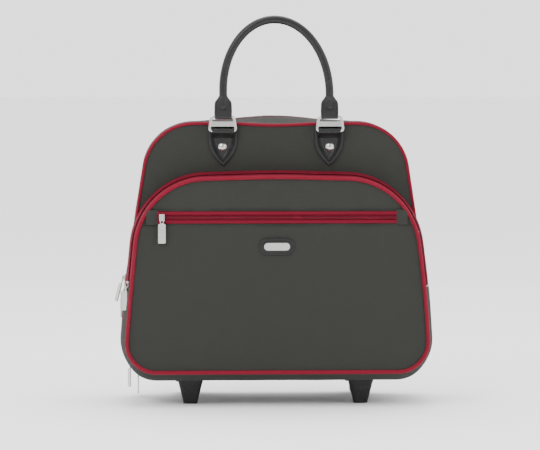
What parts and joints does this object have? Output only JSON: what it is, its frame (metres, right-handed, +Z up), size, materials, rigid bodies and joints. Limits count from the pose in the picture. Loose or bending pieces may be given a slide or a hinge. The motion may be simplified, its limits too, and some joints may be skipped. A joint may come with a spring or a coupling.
{
  "type": "rolling laptop case",
  "caption": "Soft fabric laptop case with an arched front pocket, zipped compartments, rolled carrying handles, front feet, rear wheels and a telescoping pull.",
  "frame": {"origin": "on the ground, under the middle of the case", "axes": "+X to the right as seen from the front, -Y is the front, +Z up"},
  "size_m": [0.4452, 0.2137, 0.5493],
  "materials": {
    "body_fabric": "matte woven",
    "lining": "matte woven",
    "red_tape": "matte ribbed",
    "piping": "satin",
    "leather": "semi-gloss grained",
    "silver": "polished",
    "steel": "brushed",
    "alu": "anodised satin",
    "plastic": "fine textured",
    "board": "matte",
    "rubber": "matte",
    "hub": "satin"
  },
  "bodies": {
    "main_body": {"rear_gusset": "body_fabric", "bottom_gusset": "body_fabric", "bottom_board": "board", "front_feet": "plastic", "foot_screws": "steel", "laptop_divider": "lining", "main_zip_rear_tape": "red_tape", "laptop_zip_front_tape": "red_tape"},
    "front_section": {"front_panel": "body_fabric", "front_piping": "piping", "front_gusset": "body_fabric", "main_zip_front_tape": "red_tape", "pocket_zip_outer_tape": "red_tape", "pocket_gusset": "body_fabric", "front_chapes": "leather", "front_rivets": "silver"},
    "pocket_section": {"pocket_panel": "body_fabric", "pocket_piping": "piping", "pocket_zip_inner_tape": "red_tape", "panel_zip": "red_tape", "badge_patch": "leather", "badge_plate": "silver"},
    "back_section": {"back_panel": "body_fabric", "back_piping": "piping", "back_gusset": "body_fabric", "laptop_zip_rear_tape": "red_tape", "outer_tubes": "alu", "top_bracket": "plastic", "base_housing": "plastic", "wheel_axles": "steel", "back_chapes": "leather", "back_rivets": "silver"},
    "pull_stage_one": {"middle_tubes": "alu"},
    "pull_stage_two": {"inner_tubes": "alu", "pull_grip": "plastic"},
    "button": {"release_button": "plastic"},
    "left_wheel": {"left_tyre": "rubber", "left_hub": "hub", "left_bearings": "steel"},
    "right_wheel": {"right_tyre": "rubber", "right_hub": "hub", "right_bearings": "steel"},
    "front_ring_pair": {"front_rings": "silver"},
    "front_carry_handle": {"front_handle": "leather", "front_handle_cuffs": "leather"},
    "back_ring_pair": {"back_rings": "silver"},
    "back_carry_handle": {"back_handle": "leather", "back_handle_cuffs": "leather"},
    "panel_zip_slider": {"panel_zip_slider": "silver"},
    "panel_zip_pull": {"panel_zip_pull": "silver"},
    "pocket_zip_slider": {"pocket_zip_slider": "silver"},
    "pocket_zip_pull": {"pocket_zip_pull": "silver"},
    "main_zip_upper_slider": {"main_zip_upper_slider": "silver"},
    "main_zip_upper_pull": {"main_zip_upper_pull": "silver"},
    "main_zip_lower_slider": {"main_zip_lower_slider": "silver"},
    "main_zip_lower_pull": {"main_zip_lower_pull": "silver"},
    "laptop_zip_upper_slider": {"laptop_zip_upper_slider": "silver"},
    "laptop_zip_upper_pull": {"laptop_zip_upper_pull": "silver"},
    "laptop_zip_lower_slider": {"laptop_zip_lower_slider": "silver"},
    "laptop_zip_lower_pull": {"laptop_zip_lower_pull": "silver"}
  },
  "joints": [
    {"name": "front_section_open", "type": "hinge", "parent": "main_body", "child": "front_section", "pos_m": [0, -0.06025, 0.035], "axis": [1, 0, 0], "range_deg": [0, 25]},
    {"name": "front_pocket_open", "type": "hinge", "parent": "front_section", "child": "pocket_section", "pos_m": [0, -0.09395, 0.046], "axis": [1, 0, 0], "range_deg": [0, 20]},
    {"name": "laptop_section_open", "type": "hinge", "parent": "main_body", "child": "back_section", "pos_m": [0, 0.044, 0.035], "axis": [-1, 0, 0], "range_deg": [0, 60]},
    {"name": "pull_stage_one_slide", "type": "slide", "parent": "back_section", "child": "pull_stage_one", "axis": [0, 0, 1], "range_m": [0, 0.255]},
    {"name": "pull_stage_two_slide", "type": "slide", "parent": "pull_stage_one", "child": "pull_stage_two", "axis": [0, 0, 1], "range_m": [0, 0.25]},
    {"name": "release_button_press", "type": "slide", "parent": "pull_stage_two", "child": "button", "axis": [0, 0, -1], "range_m": [0, 0.003], "stiffness_N_per_m": 400},
    {"name": "left_wheel_spin", "type": "hinge", "parent": "back_section", "child": "left_wheel", "pos_m": [-0.124, 0.08, 0.028], "axis": [1, 0, 0], "continuous": true},
    {"name": "right_wheel_spin", "type": "hinge", "parent": "back_section", "child": "right_wheel", "pos_m": [0.124, 0.08, 0.028], "axis": [1, 0, 0], "continuous": true},
    {"name": "front_rings_swing", "type": "hinge", "parent": "front_section", "child": "front_ring_pair", "pos_m": [0, -0.07545, 0.387], "axis": [1, 0, 0], "range_deg": [0, 110]},
    {"name": "front_handle_swing", "type": "hinge", "parent": "front_ring_pair", "child": "front_carry_handle", "pos_m": [0, -0.07545, 0.4075], "axis": [1, 0, 0], "range_deg": [-70, 5]},
    {"name": "back_rings_swing", "type": "hinge", "parent": "back_section", "child": "back_ring_pair", "pos_m": [0, 0.08545, 0.387], "axis": [1, 0, 0], "range_deg": [0, 100]},
    {"name": "back_handle_swing", "type": "hinge", "parent": "back_ring_pair", "child": "back_carry_handle", "pos_m": [0, 0.08545, 0.3665], "axis": [1, 0, 0], "range_deg": [0, 75]},
    {"name": "panel_zip_run", "type": "slide", "parent": "pocket_section", "child": "panel_zip_slider", "axis": [1, 0, 0], "range_m": [0, 0.315]},
    {"name": "pocket_zip_run", "type": "slide", "parent": "front_section", "child": "pocket_zip_slider", "axis": [0.0885, 0, 0.9961], "range_m": [0, 0.085]},
    {"name": "main_zip_upper_run", "type": "slide", "parent": "main_body", "child": "main_zip_upper_slider", "axis": [0.1501, 0, 0.9887], "range_m": [0, 0.14]},
    {"name": "main_zip_lower_run", "type": "slide", "parent": "main_body", "child": "main_zip_lower_slider", "axis": [0.0942, 0, 0.9956], "range_m": [0, 0.003]},
    {"name": "laptop_zip_upper_run", "type": "hinge", "parent": "main_body", "child": "laptop_zip_upper_slider", "pos_m": [-0.16204, 0.044, 0.092], "axis": [0, 1, 0], "range_deg": [0, 35]},
    {"name": "laptop_zip_lower_run", "type": "hinge", "parent": "main_body", "child": "laptop_zip_lower_slider", "pos_m": [-0.16204, 0.044, 0.092], "axis": [0, 1, 0], "range_deg": [0, 2.5]},
    {"name": "panel_zip_pull_swing", "type": "hinge", "parent": "panel_zip_slider", "child": "panel_zip_pull", "pos_m": [-0.161, -0.10415, 0.267], "axis": [-1, 0, 0], "range_deg": [0, 85]},
    {"name": "pocket_zip_pull_swing", "type": "hinge", "parent": "pocket_zip_slider", "child": "pocket_zip_pull", "pos_m": [-0.21177, -0.08011, 0.172], "axis": [-0.2964, 0.9551, 0], "range_deg": [0, 80]},
    {"name": "main_zip_upper_pull_swing", "type": "hinge", "parent": "main_zip_upper_slider", "child": "main_zip_upper_pull", "pos_m": [-0.2164, -0.012, 0.1775], "axis": [0, 1, 0], "range_deg": [0, 65]},
    {"name": "main_zip_lower_pull_swing", "type": "hinge", "parent": "main_zip_lower_slider", "child": "main_zip_lower_pull", "pos_m": [-0.21886, -0.012, 0.1555], "axis": [0, 1, 0], "range_deg": [0, 5]},
    {"name": "laptop_zip_upper_pull_swing", "type": "hinge", "parent": "laptop_zip_upper_slider", "child": "laptop_zip_upper_pull", "pos_m": [-0.20717, 0.044, 0.04992], "axis": [0, 1, 0], "range_deg": [0, 65]},
    {"name": "laptop_zip_lower_pull_swing", "type": "hinge", "parent": "laptop_zip_lower_slider", "child": "laptop_zip_lower_pull", "pos_m": [-0.19565, 0.044, 0.04025], "axis": [0, 1, 0], "range_deg": [0, 14]}
  ]
}
